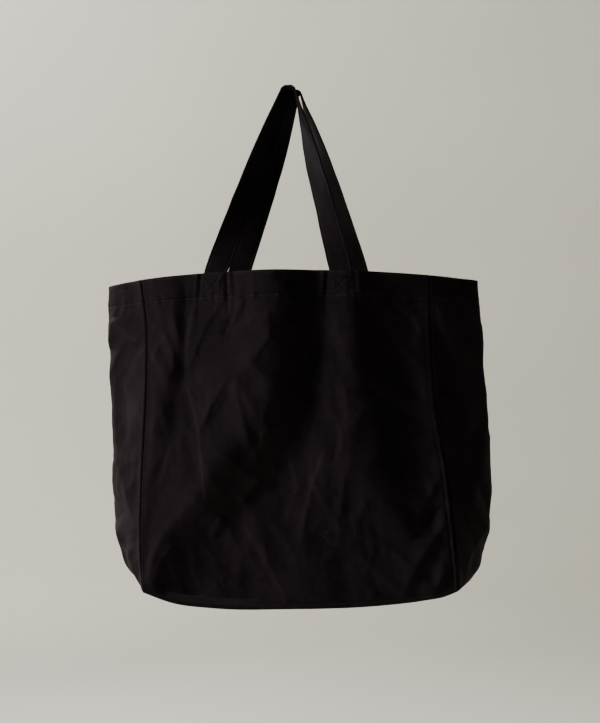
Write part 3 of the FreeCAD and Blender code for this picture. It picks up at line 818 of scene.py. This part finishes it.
def dyeGroup():
    # uneven dye, lint and rubbed places
    group, given, result = nodeGroup(
        "dye and lint",
        [("Vector", "Vector", None), ("Wear", "Float", 0.0)],
        ["Dye", "Lint", "Rubbed"],
    )
    calc, place = partial(calculate, group), given["Vector"]
    fine, broad = noise(group, place, 140.0, 3.0, 0.6), noise(group, place, 9.0, 4.0, 0.6)
    dye = calc("MULTIPLY_ADD", fine, 0.35, calc("MULTIPLY", broad, 0.65))
    group.links.new(ramp(group, dye, 0.30, 0.70), result["Dye"])
    cells = addNode(group, "TexVoronoi", "Distance", {"Scale": 90.0, "Vector": place})
    specks = ramp(group, cells, 0.055, 0.02)
    chosen = ramp(group, noise(group, place, 30.0, 1.0), 0.60, 0.66)
    group.links.new(calc("MULTIPLY", specks, chosen), result["Lint"])
    patchy = calc("MULTIPLY_ADD", noise(group, place, 420.0, 3.0, 0.7), 1.3, -0.15)
    group.links.new(calc("MULTIPLY", given["Wear"], patchy, clamp=True), result["Rubbed"])
    return group


weave, dyeAndLint = weaveGroup(), dyeGroup()

finishes = {
    "canvas": {
        "dark": (0.0060, 0.0040, 0.0050), "light": (0.0136, 0.0093, 0.0115), "rubbed": (0.029, 0.022, 0.026),
        "pitch": 0.00085, "bump": 0.00016, "roughness": (0.82, 0.95),
    },
    "strap": {
        "dark": (0.0054, 0.0036, 0.0046), "light": (0.0122, 0.0083, 0.0104), "rubbed": (0.026, 0.020, 0.0235),
        "pitch": 0.00080, "bump": 0.00016, "roughness": (0.80, 0.93),
    },
    "bindingTape": {
        "dark": (0.0090, 0.0066, 0.0080), "light": (0.0180, 0.0136, 0.0162), "rubbed": (0.034, 0.027, 0.031),
        "pitch": 0.00055, "bump": 0.00010, "roughness": (0.70, 0.88),
    },
    "lint": (0.16, 0.15, 0.15),
    "sheen": {
        "Sheen Weight": 0.024, "Sheen Roughness": 0.45, "Sheen Tint": (0.80, 0.60, 0.70, 1),
        "Specular IOR Level": 0.035,
    },
    "thread": {
        "dark": (0.0036, 0.0026, 0.0032), "light": (0.0082, 0.0060, 0.0072),
        "patch": (0.0105, 0.0078, 0.0094), "bump": 0.00008,
    },
}


def newMaterial(name):
    material = bpy.data.materials.new(name)
    material.use_nodes = True
    return material, material.node_tree, material.node_tree.nodes["Principled BSDF"].inputs


def clothMaterial(name, finish):
    material, tree, shader = newMaterial(name)
    calc = partial(calculate, tree)
    flat = addNode(tree, "UVMap", 0, uv_map="cloth")
    wear = addNode(tree, "Attribute", "Fac", attribute_name="wear")
    yarn, dye = (addNode(tree, "Group", 0, node_tree=group).node for group in (weave, dyeAndLint))
    yarn.inputs["Yarn Pitch"].default_value = finish["pitch"]
    tree.links.new(flat, yarn.inputs["Vector"])
    tree.links.new(flat, dye.inputs["Vector"])
    tree.links.new(wear, dye.inputs["Wear"])
    yarnHeight, yarnTone = yarn.outputs
    dyed, lint, rubbed = dye.outputs
    tone = calc("MULTIPLY_ADD", yarnTone, 0.9, calc("MULTIPLY", dyed, 0.5))
    tone = ramp(tree, calc("MULTIPLY_ADD", yarnHeight, 0.3, tone), 0.45, 1.15)
    colour = mixColour(tree, tone, finish["dark"], finish["light"])
    colour = mixColour(tree, calc("MULTIPLY", rubbed, 0.55), colour, finish["rubbed"])
    colour = mixColour(tree, calc("MULTIPLY", lint, 0.6), colour, finishes["lint"])
    tree.links.new(colour, shader["Base Color"])
    low, high = finish["roughness"]
    rough = calc("MULTIPLY_ADD", yarnHeight, low - high, high)
    tree.links.new(calc("MULTIPLY_ADD", dyed, -0.04, rough), shader["Roughness"])
    for socket, value in finishes["sheen"].items():
        shader[socket].default_value = value
    fuzzy = calc("MULTIPLY_ADD", noise(tree, flat, 2600.0, 2.0, 0.7), 0.35, yarnHeight)
    bump = addNode(tree, "Bump", 0, {"Strength": 0.7, "Distance": finish["bump"], "Height": fuzzy})
    tree.links.new(bump, shader["Normal"])
    return material


def threadMaterial():
    material, tree, shader = newMaterial("sewing thread")
    finish = finishes["thread"]
    place = addNode(tree, "TexCoord", "Object")
    twisted = {"Scale": 620.0, "Distortion": 1.5, "Vector": place}
    twist = addNode(tree, "TexWave", "Fac", twisted, bands_direction="DIAGONAL")
    patch = noise(tree, place, 120.0)
    colour = mixColour(tree, twist, finish["dark"], finish["light"])
    colour = mixColour(tree, calculate(tree, "MULTIPLY", patch, 0.5), colour, finish["patch"])
    tree.links.new(colour, shader["Base Color"])
    tree.links.new(calculate(tree, "MULTIPLY_ADD", patch, 0.25, 0.42), shader["Roughness"])
    shader["Sheen Weight"].default_value = 0.04
    shader["Specular IOR Level"].default_value = 0.2
    bump = addNode(tree, "Bump", 0, {"Strength": 0.5, "Distance": finish["bump"], "Height": twist})
    tree.links.new(bump, shader["Normal"])
    return material


canvas = clothMaterial("black canvas", finishes["canvas"])
strapCanvas = clothMaterial("black strap canvas", finishes["strap"])
tape = clothMaterial("binding tape", finishes["bindingTape"])
thread = threadMaterial()
print("materials made")


# ---- stitches

stitchShape = {
    # place along the stitch, size, lift in thread widths: its ends sink into the cloth
    "rings": [(-0.5, 0.25, -0.65), (-0.40, 0.85, -0.25), (-0.2, 1.0, 0.0), (0.0, 1.0, 0.06),
              (0.2, 1.0, 0.0), (0.40, 0.85, -0.25), (0.5, 0.25, -0.65)],
    "sides": 7,
    "flatness": 0.84,
}


def sample(sheet, a, up):
    # places and outward directions at distances across and up a sheet
    across, rows, points = sheet["across"], sheet["rows"], sheet["outer"]
    c = np.clip(np.searchsorted(across, a) - 1, 0, len(across) - 2)
    r = np.clip(np.searchsorted(rows, up) - 1, 0, len(rows) - 2)
    fa = np.clip((a - across[c]) / (across[c + 1] - across[c]), 0, 1)[:, None]
    fr = np.clip((up - rows[r]) / (rows[r + 1] - rows[r]), 0, 1)[:, None]
    lower = points[r, c] * (1 - fa) + points[r, c + 1] * fa
    upper = points[r + 1, c] * (1 - fa) + points[r + 1, c + 1] * fa
    return lower * (1 - fr) + upper * fr, sheet["normals"][r, c]


def stitchMesh(name, centres, alongs, normals):
    # one small rounded capsule for each stitch
    length, width = sewing["stitchLength"], sewing["threadWidth"]
    rings, sides = stitchShape["rings"], stitchShape["sides"]
    angles = np.linspace(0, 2 * math.pi, sides, endpoint=False)
    flatness = stitchShape["flatness"]
    template = np.array([[at, size * math.cos(t) / 2, lift / 2 + size * math.sin(t) * flatness / 2]
                         for at, size, lift in rings for t in angles])
    alongs = unit(alongs)
    sideways = unit(np.cross(normals, alongs))
    up = np.cross(alongs, sideways)
    rng = np.random.default_rng(len(centres))
    scale = rng.uniform(0.92, 1.06, len(centres))[:, None, None]
    turn = rng.normal(0, 0.05, len(centres))[:, None, None]
    ahead, beside, above = (template[None, :, i, None] for i in range(3))
    points = (centres[:, None]
              + (alongs[:, None] + sideways[:, None] * turn) * ahead * length * scale
              + (sideways[:, None] * beside + up[:, None] * above) * width)
    faces = tubeFaces(len(rings), sides)
    faces = [[i + s * len(template) for i in face] for s in range(len(centres)) for face in faces]
    return makeMesh(name, points, faces, thread)


def rowOnSheet(sheet, start, end):
    # stitches along a straight row on a sheet, from one (across, up) to another
    (a0, up0), (da, dup) = start, np.subtract(end, start)
    count = max(2, int(math.hypot(da, dup) / (sewing["stitchLength"] + sewing["stitchGap"])))
    t = (np.arange(count) + 0.5) / count
    (place, normal), (ahead, _), (behind, _) = (
        sample(sheet, a0 + da * at, up0 + dup * at) for at in (t, t + 0.4 / count, t - 0.4 / count))
    return place, ahead - behind, normal


def stitchRows(name, sheet, rows):
    parts = [rowOnSheet(sheet, *row) for row in rows]
    return stitchMesh(name, *(np.concatenate(part) for part in zip(*parts)))


# ---- the five cloth pieces of the bag

walls = {
    "front": wallSheet("frontPanelCloth", "front", bag["panelWidth"]),
    "back": wallSheet("backPanelCloth", "back", bag["panelWidth"]),
    "left": wallSheet("leftGussetCloth", "left", bag["gussetWidth"]),
    "right": wallSheet("rightGussetCloth", "right", bag["gussetWidth"]),
    "bottom": bottomSheet("bottomCloth"),
}
print("cloth sewn up:", {name: len(sheet["item"].data.polygons) for name, sheet in walls.items()})

height, hem, inset = bag["panelHeight"], sewing["hemRow"], sewing["edgeRow"]
overEdge = height + math.pi * bag["hemTurn"]
hemStitches, edgeStitches, boxStitches = {}, {}, {}
for wall in ("front", "back", "left", "right"):
    first, last = sewing["rowEnd"], walls[wall]["width"] - sewing["rowEnd"]
    hemStitches[wall] = stitchRows(f"{wall}HemStitches", walls[wall], [
        ((first, height - hem), (last, height - hem)),
        ((last, overEdge + hem), (first, overEdge + hem)),
    ])
for wall in ("front", "back"):
    sheet, width = walls[wall], walls[wall]["width"]
    topOfRow = height - bag["hemDepth"] - 0.002
    corners = [(inset, topOfRow), (inset, inset), (width - inset, inset), (width - inset, topOfRow)]
    edgeStitches[wall] = stitchRows(f"{wall}EdgeStitches", sheet, zip(corners, corners[1:]))
    low, high = seamX(f"{wall}Left", 0.04), seamX(f"{wall}Right", 0.04)
    for side, label in ((-1, "Left"), (1, "Right")):
        rows = []
        for line in boxLines(side):
            shares = [(x - low) / (high - low) for x, _ in line]
            shares = shares if wall == "front" else [1 - u for u in shares]
            rows.append([(width * u, height - below) for u, (_, below) in zip(shares, line)])
        boxStitches[wall, label] = stitchRows(f"{wall}BoxStitches{label}", sheet, rows)
print("stitches laid")


# ---- straps

strap = {
    "width": 0.028,
    "thickness": 0.0024,
    "sewnLength": 0.0285,
    "inside": 0.0032,         # from the outside of the panel to the middle of a sewn end
    "topRadius": 0.0042,      # inside the bend over the hook
    "twist": 60,              # degrees that a leg turns steadily, from its foot to its top
    "topTwist": 78,           # degrees turned where the bend over the hook starts
    "gap": 0.0006,
    "rowInset": 0.0035,
    "groove": 0.30,           # share of the thickness pulled in at a row of stitches
    "way": {"front": 1, "back": -1},   # which way each turns over the hook, seen in its own mirror
    "wander": {"front": (2.0, 0.0010), "back": (-5.0, -0.0012)},   # extra twist, sway
    "seed": {"front": 500, "back": 540},
}


def surfaceY(wall, x, z):
    # the outside of the front or back, with its broad folds
    top, foot = heightAt(x, 0.0), heightAt(x, 1.0)
    down = np.clip((top - z) / (top - foot), 0, 1)
    low, high = seamX(f"{wall}Left", down), seamX(f"{wall}Right", down)
    share = 2 * (x - low) / (high - low) - 1
    depth, bow = along(bag["levels"], down, 2), along(bag["levels"], down, 3)
    xs, zs = np.array([[x, x]], float), np.array([[z, -0.6]], float)
    relief = foldRelief(xs, zs, wallFolds[wall]["lines"])[0, 0]
    return -(float(depth + bow * (1 - share**2)) + relief)


def legPath(wall, side):
    # from the foot of a sewn end to the top of the loop, as if on the right, and on the front
    foot, x = strapX(side), strapX(side) * side
    edge = float(heightAt(foot, 0.0))
    base, low = (Vector((x, surfaceY(wall, foot, z) + strap["inside"], z))
                 for z in (edge - 0.001, edge - strap["sewnLength"]))
    reach = 0.009
    slope = (surfaceY(wall, foot + reach, edge) - surfaceY(wall, foot - reach, edge)) / (2 * reach)
    tilt = -math.atan(slope * side)
    topY = -(strap["width"] + strap["gap"]) / 2
    bend, bendZ = strap["topRadius"] + strap["thickness"] / 2, -strap["topRadius"]
    start = math.atan2(base.z - bendZ, x) + math.acos(bend / math.hypot(x, base.z - bendZ))
    touch = Vector((bend * math.cos(start), topY, bendZ + bend * math.sin(start)))
    extra, sway = strap["wander"][wall]
    twist, topTwist, way = strap["twist"], strap["topTwist"], strap["way"][wall]
    places, turns = [], []
    for t in np.linspace(0, 1, 15)[:-1]:
        places.append(low.lerp(base, t))
        turns.append(tilt)
    for t in np.linspace(0, 1, 96)[:-1]:
        arch = math.sin(math.pi * t)
        place = base.lerp(touch, t)
        place.y += sway * arch
        places.append(place)
        ease = float(smooth(0.0, 0.10, t))
        turned = twist * t + (topTwist - twist) * float(smooth(0.6, 1.0, t)) + extra * arch
        turns.append(tilt * (1 - ease) + math.radians(turned * (0.4 + 0.6 * ease) * way))
    for t in np.linspace(0, 1, 22):
        angle = start + (math.pi / 2 - start) * t
        places.append(Vector((bend * math.cos(angle), topY, bendZ + bend * math.sin(angle))))
        turns.append(math.radians(topTwist + (90 - topTwist) * t) * way)
    places = np.array([list(place) for place in places])
    for _ in range(3):   # softens the bend at the turned edge
        places[8:40] = (places[7:39] + places[8:40] * 2 + places[9:41]) / 4
    return places, np.array(turns)


def strapStations(wall):
    # the whole strap: places, directions across it and along it
    pieces = []
    for side in (1, -1):
        places, turns = legPath(wall, side)
        alongs = unit(np.gradient(places, axis=0))
        flat = unit(np.cross(np.array([0.0, 1.0, 0.0]), alongs))
        alongs[-1], flat[-1] = (-1, 0, 0), (0, 0, 1)
        across = flat * np.cos(turns)[:, None] - np.cross(alongs, flat) * np.sin(turns)[:, None]
        piece = [places, across, alongs]
        if side < 0:
            piece = [(v * way)[-2::-1] for v, way in zip(piece, ((-1, 1, 1), (-1, 1, 1), (1, -1, -1)))]
        pieces.append(piece)
    flip = (1, -1, 1) if wall == "back" else (1, 1, 1)
    return [np.concatenate(parts) * flip for parts in zip(*pieces)]


def strapSection():
    # places across the strap and its half thickness there, for one face
    half, row = strap["width"] / 2, strap["width"] / 2 - strap["rowInset"]
    fromEdge = np.array([0, 0.0001, 0.0004, 0.0009, 0.0015, 0.0021, 0.0027,
                         0.0031, 0.0035, 0.0039, 0.0044, 0.0052, 0.0065])
    a = np.concatenate([half - fromEdge, np.linspace(half - 0.0085, 0, 6)])
    rounding = np.sqrt(np.clip(1 - np.clip(1 - (half - a) / 0.0010, 0, 1) ** 2, 0, 1))
    groove = 1 - strap["groove"] * bell(a - row, 0.0007)
    thick = strap["thickness"] / 2 * (0.12 + 0.88 * rounding) * groove
    return np.concatenate([a, -a[-2::-1]]), np.concatenate([thick, thick[-2::-1]])


def buildStrap(wall):
    places, across, alongs = strapStations(wall)
    through = unit(np.cross(alongs, across))
    a, thick = strapSection()
    both, depth = np.concatenate([a, a[::-1]]), np.concatenate([thick, -thick[::-1]])
    walked = walk(places)
    s, w = np.meshgrid(both, walked)
    still, total, seed, half = np.zeros_like(s), walked[-1], strap["seed"][wall], strap["width"] / 2
    fromEnd, fromTop = np.minimum(walked, total - walked), np.abs(walked - total / 2)
    free = smooth(0.032, 0.075, fromEnd)[:, None] * smooth(0.0, 0.03, fromTop)[:, None]
    row = half - strap["rowInset"]
    # gathers at the stitches, a wavering face with a hollow across it, and uneven edges
    gathered = 0.00016 * waves(s * 0.3, w, 0.006, seed) * np.exp(-np.abs(np.abs(s) - row) / 0.002)
    hollow = 0.0007 * ((s / half) ** 2 - 0.4) * waves(still, w, 0.12, seed + 2)
    waver = free * (0.0002 * waves(s * 0.25, w, 0.045, seed + 1) + hollow)
    edge = free * 0.00012 * waves(still, w, 0.030, seed + 3) * np.sign(s) * (np.abs(s) > 0.012)
    lift = depth[None] * (1 + gathered / (strap["thickness"] / 2)) + waver
    rings = places[:, None] + across[:, None] * (s + edge)[..., None] + through[:, None] * lift[..., None]
    worn = 0.75 * np.exp(-(half - np.abs(s)) / 0.0012) + 0.2 * crumple(s, w, 0.05, seed + 4)
    worn += 0.35 * bell(fromTop, 0.03)[:, None]
    flat = np.stack([s + 0.1, w], -1)
    item = makeMesh(f"{wall}Strap", rings, tubeFaces(*s.shape), strapCanvas, flat, np.clip(worn, 0, 1))
    turnOutward(item)

    def onFace(where, offset, face):
        # places on one face of the strap, and its direction through
        middle, beside, out = (np.stack([np.interp(where, walked, v[:, k]) for k in range(3)], -1)
                               for v in (places, across, through))
        wave = np.interp(where, walked, waver[:, np.abs(both - offset).argmin()])
        level = face * strap["thickness"] / 2 * (1 - strap["groove"] * 0.8)
        return middle + beside * offset + out * (level + wave)[:, None], out * face

    at = np.arange(sewing["rowEnd"], total - sewing["rowEnd"], sewing["stitchLength"] + sewing["stitchGap"])
    parts = []
    for offset in (-row, row):
        for face in (-1, 1):
            (place, normal), (ahead, _), (behind, _) = (
                onFace(at + step, offset, face) for step in (0, 0.0008, -0.0008))
            parts.append((place, ahead - behind, normal))
    return item, stitchMesh(f"{wall}StrapStitches", *(np.concatenate(part) for part in zip(*parts)))


for wall in ("front", "back"):
    item, stitches = buildStrap(wall)
    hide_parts(f"{wall}_handle", f"{wall}_handle_end_left", f"{wall}_handle_end_right")
    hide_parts(f"{wall}_handle_stitching")
    for piece in (item, stitches):
        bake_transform(piece)
print("straps made")


# ---- bindings over the seam allowances, inside

binding = {
    "depth": 0.0090,
    "slot": 0.0019,        # inside, between its two sides
    "thickness": 0.0004,
    "start": 0.0012,       # from the turned-in seam to the open side of the tape
    "stations": 150,
    "span": (0.095, 0.955),   # shares of the way down between which a side seam is bound
}


def bindingStrip(path, inwards, label):
    # a folded tape along a path, its open side towards the seam
    half, thick, deep = binding["slot"] / 2, binding["thickness"], binding["depth"]
    outer = [(k * deep, half + thick + 0.0002 * math.sin(9 * k)) for k in (0.0, 0.25, 0.5, 0.75, 0.9)]
    corner = (deep + thick * 0.7, half * 0.8 + thick * 0.7)
    outer = outer + [corner, (deep + thick * 1.4, 0.0)] + [(x, -y) for x, y in reversed(outer + [corner])]
    inner = [(0.0, -half), (deep * 0.5, -half), (deep * 0.92, -half * 0.8), (deep, 0.0)]
    section = np.array(outer + inner + [(x, -y) for x, y in reversed(inner[:3])])
    beside = unit(np.cross(directions(path[None], 1)[0], inwards))
    s, w = np.meshgrid(section[:, 0], walk(path))
    ripple = 0.00035 * waves(s * 0.5, w, 0.012, 700 + len(label)) * s / deep
    rings = (path[:, None] + inwards * (binding["start"] + s)[..., None]
             + beside[:, None] * (section[None, :, 1] + ripple)[..., None])
    return rings, np.stack([walk(section)[None] + 0 * w, w], -1)


def buildBinding(wall):
    sign = -1 if wall == "front" else 1
    count, strips = binding["stations"], []
    for name, side in ((f"{wall}Left", -1), (f"{wall}Right", 1)):
        signs = np.array([side, sign])
        inward, lean = (np.append(-signs * way, 0)
                        for way in (unit(np.array(bag["seamWay"])), bag["allowanceWay"]))
        path = wallPoint(wall, np.full(count, float(-side * sign)), np.linspace(*binding["span"], count))
        strips.append(bindingStrip(path + inward * bag["seamRoll"], lean, name))
    path = wallPoint(wall, np.linspace(-0.95, 0.95, count), np.ones(count))
    path = path + np.array([0, -sign, 1]) * bag["bottomWay"] * bag["seamRoll"]
    strips.append(bindingStrip(path, np.array([0, -sign * 0.30, 0.95]), "bottom"))
    sides = strips[0][0].shape[1]
    faces = [face for k in range(len(strips)) for face in tubeFaces(count, sides, k * count * sides)]
    rings, flat = (np.concatenate(parts) for parts in zip(*strips))
    item = makeMesh(f"{wall}SeamBinding", rings, faces, tape, flat)
    turnOutward(item)
    return item


bindings = {wall: buildBinding(wall) for wall in ("front", "back")}
print("seams bound")


# ---- what each piece stands for

def declare(item, node):
    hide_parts(node)
    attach(item, "bag")


for wall, kind in (("front", "panel"), ("back", "panel"), ("left", "gusset"), ("right", "gusset")):
    declare(walls[wall]["item"], f"{wall}_{kind}")
    declare(hemStitches[wall], f"{wall}_hem_stitching")
declare(walls["bottom"]["item"], "bottom_panel")
for wall in ("front", "back"):
    declare(edgeStitches[wall], f"{wall}_edge_stitching")
    declare(bindings[wall], f"{wall}_seam_binding")
    for label in ("Left", "Right"):
        declare(boxStitches[wall, label], f"{wall}_box_stitching_{label.lower()}")

for wall in ("front", "back"):
    pieces = [hemStitches[wall], edgeStitches[wall], bindings[wall]]
    pieces += [boxStitches[wall, label] for label in ("Left", "Right")]
for wall in ("left", "right"):
    pieces = [hemStitches[wall]]
print("pieces declared")


# ---- floor, light and camera

stage = {
    "floorZ": -1.05,
    "radius": 4.2,
    "sweepRadius": 1.2,
    "wallHeight": 3.4,
    "turns": 96,
    "tone": (0.70, 0.68, 0.61),
    "shadeTone": 0.94,      # how much darker its cloudy places are
}


def buildStage():
    # a pale floor that sweeps up far from the bag, all round it
    turns, sweep = stage["turns"], stage["sweepRadius"]
    start = stage["radius"] - sweep
    profile = [(start, 0.0)]
    for angle in np.linspace(0, math.pi / 2, 16)[1:]:
        profile.append((start + sweep * math.sin(angle), sweep * (1 - math.cos(angle))))
    profile.append((stage["radius"], stage["wallHeight"]))
    angles = [2 * math.pi * k / turns for k in range(turns)]
    points = [(r * math.cos(angle), r * math.sin(angle), stage["floorZ"] + z)
              for r, z in profile for angle in angles]
    faces = [list(range(turns))]
    for ring in range(len(profile) - 1):
        for k in range(turns):
            a, b = ring * turns + k, ring * turns + (k + 1) % turns
            faces.append([a, a + turns, b + turns, b])
    material, tree, shader = newMaterial("pale backdrop")
    cloudy = ramp(tree, noise(tree, addNode(tree, "TexCoord", "Object"), 1.1, 3.0), 0.25, 0.75)
    darker = tuple(c * stage["shadeTone"] for c in stage["tone"])
    tree.links.new(mixColour(tree, cloudy, darker, stage["tone"]), shader["Base Color"])
    shader["Roughness"].default_value = 0.9
    makeMesh("floor", points, faces, material)


lights = {
    # place, aimed at, size, power, spread in degrees, colour
    "key": ((-1.93, -0.68, 0.36), (0.0, 0.0, -0.38), 0.6, 12.2, 80, (1.0, 0.97, 0.93)),
    "front": ((-0.6, -2.6, 0.9), (0.0, 0.0, -0.35), 1.6, 1.0, 180, (0.93, 0.95, 1.0)),
    "back": ((-2.3, 1.15, 0.7), (0.0, 0.0, -0.35), 0.6, 18.0, 80, (0.97, 0.97, 1.0)),
    "right": ((2.5, 1.9, 0.6), (0.0, 0.0, -0.35), 0.8, 4.4, 80, (1.0, 0.97, 0.94)),
    "wash": ((-2.2, 1.2, 1.9), (-0.6, 4.2, -0.5), 1.6, 150.0, 180, (1.0, 0.98, 0.92)),
}
world = {"tone": (0.90, 0.92, 0.90, 1), "strength": 0.03}


def buildLights():
    for name, (place, target, size, power, spread, colour) in lights.items():
        data = bpy.data.lights.new(name, "AREA")
        data.shape = "DISK"
        data.size, data.energy, data.color = size, power, colour
        data.spread = math.radians(spread)
        item = bpy.data.objects.new(name, data)
        item.location = place
        item.rotation_euler = (Vector(target) - Vector(place)).to_track_quat("-Z", "Y").to_euler()
        bpy.context.scene.collection.objects.link(item)
    studio = bpy.data.worlds.new("studio")
    studio.use_nodes = True
    background = studio.node_tree.nodes["Background"].inputs
    background["Color"].default_value = world["tone"]
    background["Strength"].default_value = world["strength"]
    bpy.context.scene.world = studio


view = {"azimuth": 15.0, "distance": 1.6, "height": -0.324, "toRight": 0.0072, "width": 0.72, "sensor": 36}


def buildCamera():
    angle = math.radians(view["azimuth"])
    right = Vector((math.cos(angle), math.sin(angle), 0))
    aim = Vector((0, 0, view["height"])) + right * view["toRight"]
    data = bpy.data.cameras.new("camera")
    data.sensor_fit = "HORIZONTAL"
    data.sensor_width = view["sensor"]
    data.lens = view["sensor"] * view["distance"] / view["width"]
    data.clip_end = 50
    item = bpy.data.objects.new("camera", data)
    item.location = aim + Vector((math.sin(angle), -math.cos(angle), 0)) * view["distance"]
    item.rotation_euler = (aim - item.location).to_track_quat("-Z", "Y").to_euler()
    bpy.context.scene.collection.objects.link(item)
    bpy.context.scene.camera = item


buildStage()
buildLights()
buildCamera()
print("stage, lights and camera set")
